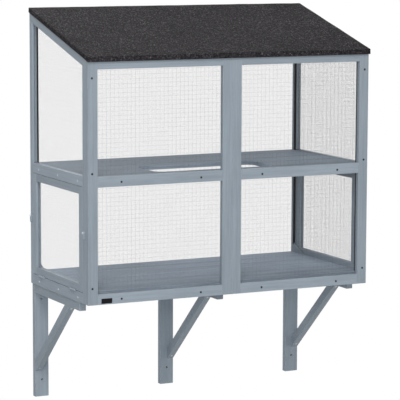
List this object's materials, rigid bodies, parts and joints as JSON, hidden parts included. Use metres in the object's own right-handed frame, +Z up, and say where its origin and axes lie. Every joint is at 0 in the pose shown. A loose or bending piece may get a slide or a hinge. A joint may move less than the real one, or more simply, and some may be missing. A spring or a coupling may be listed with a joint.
{
  "type": "window box catio",
  "caption": "Painted timber cat enclosure that hangs outside a window on wall brackets, with mesh walls, felted roof, shelf with cut-out and fold-down side doors.",
  "frame": {"origin": "on the wall plane, at the centre of the four screw holes of the two outer bracket legs", "axes": "+X to the right seen from the front, +Y into the wall, +Z up"},
  "size_m": [0.9132, 0.4348, 1.1603],
  "materials": {
    "painted_wood": "blue-grey satin paint",
    "screen_mesh": "black coated",
    "roofing_felt": "mineral granules",
    "seal": "matt",
    "label": "matt, blank",
    "black_screws": "black",
    "zinc": "zinc plated",
    "painted_metal": "painted with the frame"
  },
  "bodies": {
    "cabinet": {"back_top_rail": "painted_wood", "blank_label_plate": "label", "bracket_struts": "painted_wood", "button_screws": "zinc", "corner_gussets": "painted_wood", "floor_battens": "painted_wood", "floor_board": "painted_wood", "front_frame_screws": "black_screws", "front_left_bottom_rail": "painted_wood", "front_left_centre_stile": "painted_wood", "front_left_lower_mesh": "screen_mesh", "front_left_middle_rail": "painted_wood", "front_left_outer_stile": "painted_wood", "front_left_top_rail": "painted_wood", "front_left_upper_mesh": "screen_mesh", "front_right_bottom_rail": "painted_wood", "front_right_centre_stile": "painted_wood", "front_right_lower_mesh": "screen_mesh", "front_right_middle_rail": "painted_wood", "front_right_outer_stile": "painted_wood", "front_right_top_rail": "painted_wood", "front_right_upper_mesh": "screen_mesh", "hinge_fixed_leaves": "painted_metal", "left_back_post": "painted_wood", "left_bottom_rail": "painted_wood", "left_bracket_arm": "painted_wood", "left_bracket_leg": "painted_wood", "left_front_post": "painted_wood", "left_middle_rail": "painted_wood", "left_sloped_top_rail": "painted_wood", "left_upper_mesh": "screen_mesh", "middle_bracket_arm": "painted_wood", "middle_bracket_leg": "painted_wood", "rear_stop_laths": "painted_wood", "right_back_post": "painted_wood", "right_bottom_rail": "painted_wood", "right_bracket_arm": "painted_wood", "right_bracket_leg": "painted_wood", "right_front_post": "painted_wood", "right_middle_rail": "painted_wood", "right_sloped_top_rail": "painted_wood", "right_upper_mesh": "screen_mesh", "roof_board": "painted_wood", "roofing_felt": "roofing_felt", "seal_strips": "seal", "shelf_battens": "painted_wood", "shelf_board": "painted_wood", "side_and_strut_screws": "zinc"},
    "left_door": {"left_door_stiles": "painted_wood", "left_door_rails": "painted_wood", "left_door_mesh": "screen_mesh", "left_hinge_moving_leaves": "painted_metal"},
    "right_door": {"right_door_stiles": "painted_wood", "right_door_rails": "painted_wood", "right_door_mesh": "screen_mesh", "right_hinge_moving_leaves": "painted_metal"},
    "left_front_turn_button": {"left_front_turn_button": "painted_metal"},
    "left_back_turn_button": {"left_back_turn_button": "painted_metal"},
    "right_front_turn_button": {"right_front_turn_button": "painted_metal"},
    "right_back_turn_button": {"right_back_turn_button": "painted_metal"}
  },
  "joints": [
    {"name": "left_door_hinge", "type": "hinge", "parent": "cabinet", "child": "left_door", "pos_m": [-0.453, -0.2045, 0.20075], "axis": [0, -1, 0], "range_deg": [0, 175]},
    {"name": "right_door_hinge", "type": "hinge", "parent": "cabinet", "child": "right_door", "pos_m": [0.453, -0.2045, 0.20075], "axis": [0, 1, 0], "range_deg": [0, 175]},
    {"name": "left_front_button_pivot", "type": "hinge", "parent": "cabinet", "child": "left_front_turn_button", "pos_m": [-0.45, -0.4025, 0.373], "axis": [1, 0, 0], "range_deg": [0, 90]},
    {"name": "left_back_button_pivot", "type": "hinge", "parent": "cabinet", "child": "left_back_turn_button", "pos_m": [-0.45, -0.009, 0.373], "axis": [-1, 0, 0], "range_deg": [0, 90]},
    {"name": "right_front_button_pivot", "type": "hinge", "parent": "cabinet", "child": "right_front_turn_button", "pos_m": [0.45, -0.4025, 0.373], "axis": [1, 0, 0], "range_deg": [0, 90]},
    {"name": "right_back_button_pivot", "type": "hinge", "parent": "cabinet", "child": "right_back_turn_button", "pos_m": [0.45, -0.009, 0.373], "axis": [-1, 0, 0], "range_deg": [0, 90]}
  ]
}
